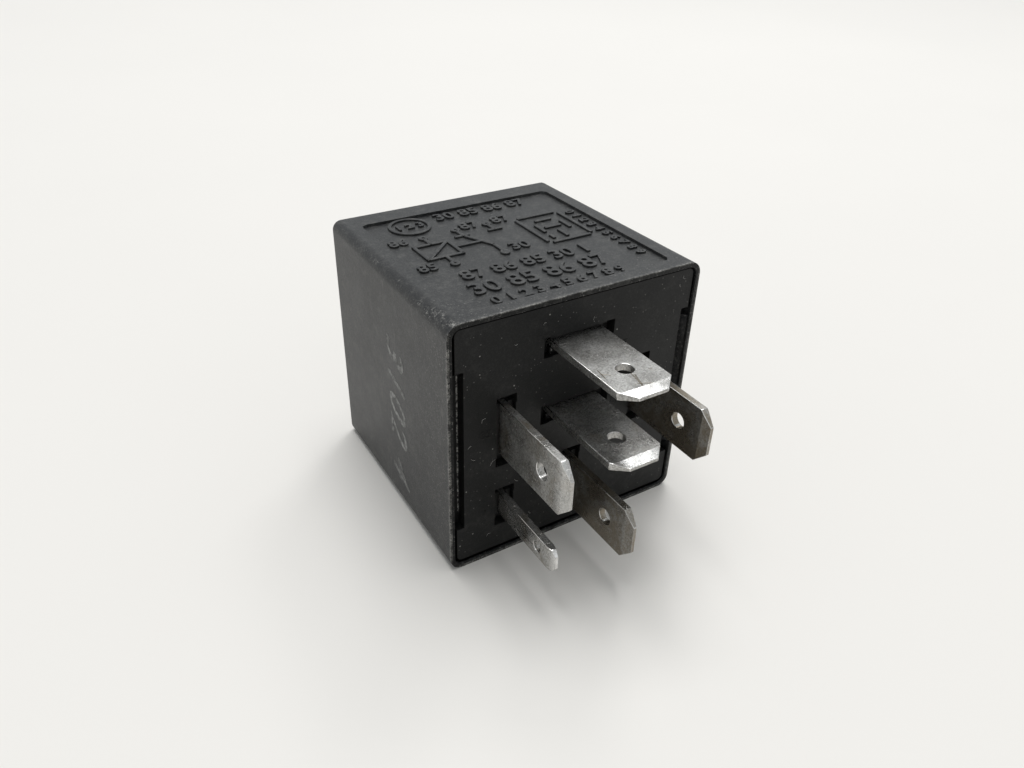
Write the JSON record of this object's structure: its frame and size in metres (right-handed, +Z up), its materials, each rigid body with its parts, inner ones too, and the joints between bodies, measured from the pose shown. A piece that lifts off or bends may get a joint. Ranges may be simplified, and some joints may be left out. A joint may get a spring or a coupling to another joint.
{
  "type": "automotive relay",
  "caption": "Plug-in automotive relay with a black square case, recessed label field, flat blade terminals and a clapper mechanism inside.",
  "frame": {"origin": "under the middle of the whole relay, on the surface that it lies on", "axes": "+X across the terminal face, +Y from the terminals into the case, +Z up out of the label face; the case's walls have 0.83 degrees of draft, so the relay's own axes lean by that angle about X where it lies flat"},
  "size_m": [0.03, 0.0408, 0.03],
  "materials": {
    "case_plastic": "fine-grained black moulding, lightly scuffed",
    "base_plastic": "matt black moulding, dusty",
    "terminal_tin": "satin tin plate with fine scratches",
    "board_laminate": "green solder mask",
    "bobbin_plastic": "cream moulding",
    "copper_wire": "enamelled copper wire",
    "lead_tin": "tinned wire",
    "soft_iron": "zinc-plated soft iron",
    "spring_bronze": "spring bronze strip",
    "spring_steel": "bright spring wire",
    "contact_silver": "silver contact alloy",
    "chip_epoxy": "black moulding compound",
    "capacitor_sleeve": "dark blue sleeve",
    "film_epoxy": "red dipped epoxy",
    "resistor_lacquer": "tan lacquer"
  },
  "bodies": {
    "relay_body": {"cover": "case_plastic", "terminal_base": "base_plastic", "terminal_top": "terminal_tin", "terminal_centre": "terminal_tin", "terminal_left": "terminal_tin", "terminal_right": "terminal_tin", "terminal_bottom": "terminal_tin", "terminal_control": "terminal_tin", "circuit_board": "board_laminate", "coil_bobbin": "bobbin_plastic", "coil_winding": "copper_wire", "coil_pins": "lead_tin", "iron_core": "soft_iron", "yoke": "soft_iron", "return_spring": "spring_steel", "make_carrier": "spring_bronze", "break_carrier": "spring_bronze", "make_contact": "contact_silver", "break_contact": "contact_silver", "timer_chip": "chip_epoxy", "electrolytic_capacitor": "capacitor_sleeve", "film_capacitor": "film_epoxy", "switching_transistor": "chip_epoxy", "suppression_diode": "chip_epoxy", "resistor_1": "resistor_lacquer", "resistor_2": "resistor_lacquer", "resistor_3": "resistor_lacquer", "resistor_4": "resistor_lacquer"},
    "armature_set": {"armature": "soft_iron", "contact_leaf": "spring_bronze", "moving_contact": "contact_silver"}
  },
  "joints": [
    {"name": "armature_pivot", "type": "hinge", "parent": "relay_body", "child": "armature_set", "pos_m": [-0.0066, 0.0123, 0.00469], "axis": [1, 0, 0], "range_deg": [0, 4.5], "stiffness_Nm_per_rad": 0.002, "springref_deg": -34.38, "deforming": ["return_spring"]}
  ]
}
